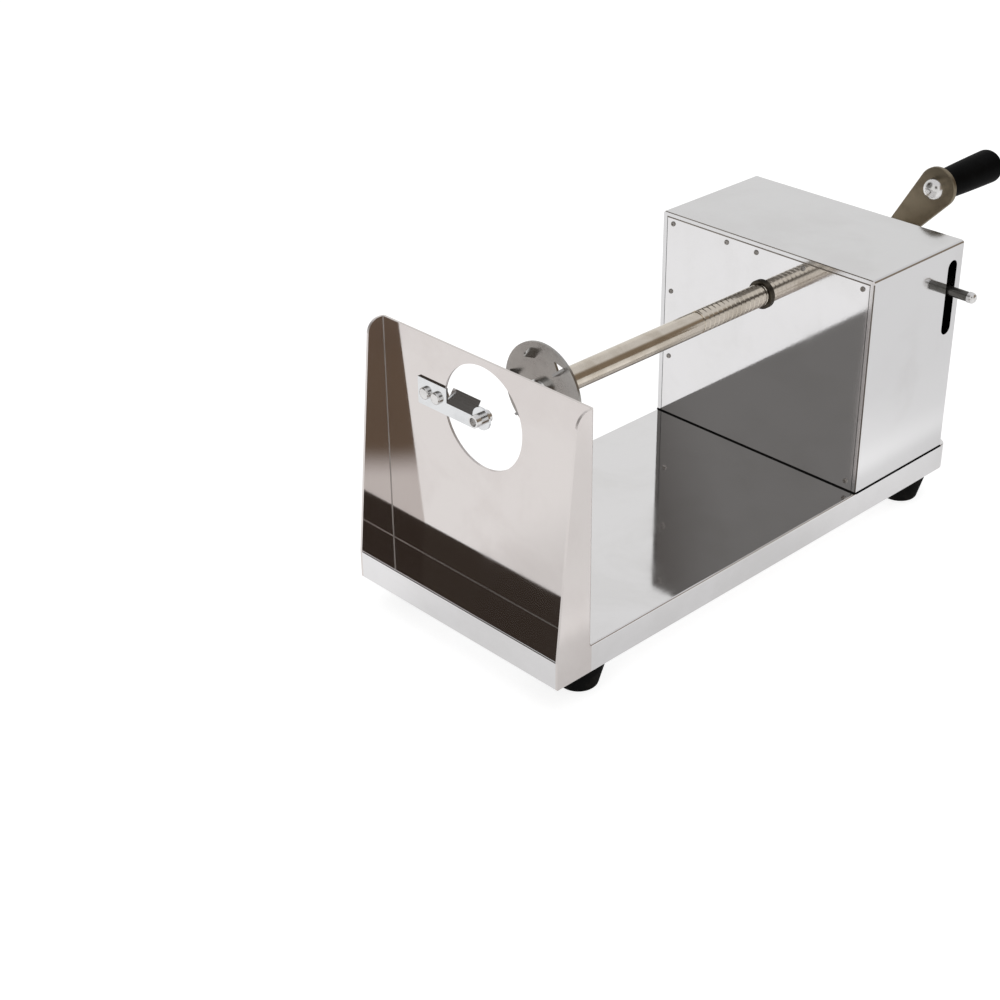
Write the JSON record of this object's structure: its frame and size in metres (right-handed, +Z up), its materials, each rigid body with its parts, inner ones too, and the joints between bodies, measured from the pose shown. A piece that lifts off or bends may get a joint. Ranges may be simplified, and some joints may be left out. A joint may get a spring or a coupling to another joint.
{
  "type": "spiral potato slicer",
  "caption": "Hand-cranked spiral slicer: a screw-fed toothed disc turns a skewered potato against a radial knife in the front plate, on a footed steel base.",
  "frame": {"origin": "on the table, under the centre of the whole machine's bounding box", "axes": "+X towards the side with the release lever, +Y from the blade stand to the crank along the feed shaft, +Z up"},
  "size_m": [0.178, 0.439, 0.1955],
  "materials": {
    "steel_sheet": "mirror polished stainless sheet",
    "steel_cover": "fine brushed stainless sheet",
    "steel_shaft": "turned steel, lightly oiled",
    "steel_bright": "bright nickel plated steel",
    "steel_dark": "dark drawn steel",
    "blade_steel": "ground blade steel",
    "half_nut_brass": "machined brass",
    "black_rubber": "black rubber",
    "black_grip": "satin black moulded plastic"
  },
  "bodies": {
    "frame": {"base_pan": "steel_sheet", "blade_stand": "steel_sheet", "front_panel": "steel_sheet", "back_panel": "steel_sheet", "gearbox_cover": "steel_cover", "base_gasket": "black_rubber", "foot_front_left": "black_rubber", "foot_front_right": "black_rubber", "foot_rear_left": "black_rubber", "foot_rear_right": "black_rubber", "foot_screws": "steel_bright", "foot_nuts": "steel_bright", "spiral_blade": "blade_steel", "skewer_guide": "steel_bright", "blade_screws": "steel_bright", "blade_nuts": "steel_bright", "cover_screws": "steel_bright", "front_panel_screws": "steel_bright", "back_panel_screws": "steel_bright", "front_bush": "steel_dark", "front_bush_nut": "steel_bright", "rear_bush": "steel_dark", "rear_bush_clip": "steel_bright", "pivot_bolt": "steel_bright", "pivot_spacer": "steel_shaft", "pivot_nut": "steel_bright", "return_spring": "steel_shaft"},
    "feed_carriage": {"buffer_ring": "black_rubber"},
    "spindle": {"feed_shaft": "steel_shaft", "fork_disc": "steel_bright", "fork_hub": "steel_bright", "crank_arm": "steel_dark", "crank_nut": "steel_bright", "grip_bolt": "steel_bright", "grip_washer": "steel_bright", "grip_nut": "steel_bright"},
    "crank_grip": {"grip": "black_grip"},
    "half_nut_lever": {"half_nut_arm": "steel_dark", "half_nut": "half_nut_brass", "half_nut_screws": "steel_bright", "lever_rod": "steel_dark", "lever_tip": "steel_bright"}
  },
  "joints": [
    {"name": "feed_slide", "type": "slide", "parent": "frame", "child": "feed_carriage", "axis": [0, -1, 0], "range_m": [-0.12, 0.032]},
    {"name": "crank_spin", "type": "hinge", "parent": "feed_carriage", "child": "spindle", "pos_m": [-0.009, 0, 0.141], "axis": [0, -1, 0], "range_deg": [-10800, 2880]},
    {"name": "grip_spin", "type": "hinge", "parent": "spindle", "child": "crank_grip", "pos_m": [0.02229, 0, 0.18253], "axis": [0, 1, 0], "continuous": true},
    {"name": "release_lever", "type": "hinge", "parent": "frame", "child": "half_nut_lever", "pos_m": [-0.059, 0.11195, 0.141], "axis": [0, 1, 0], "range_deg": [0, 9], "stiffness_Nm_per_rad": 2, "springref_deg": -6.88}
  ],
  "couplings": [
    {"joint": "feed_slide", "follows": "crank_spin", "m_per_rad": 0.00063662}
  ]
}
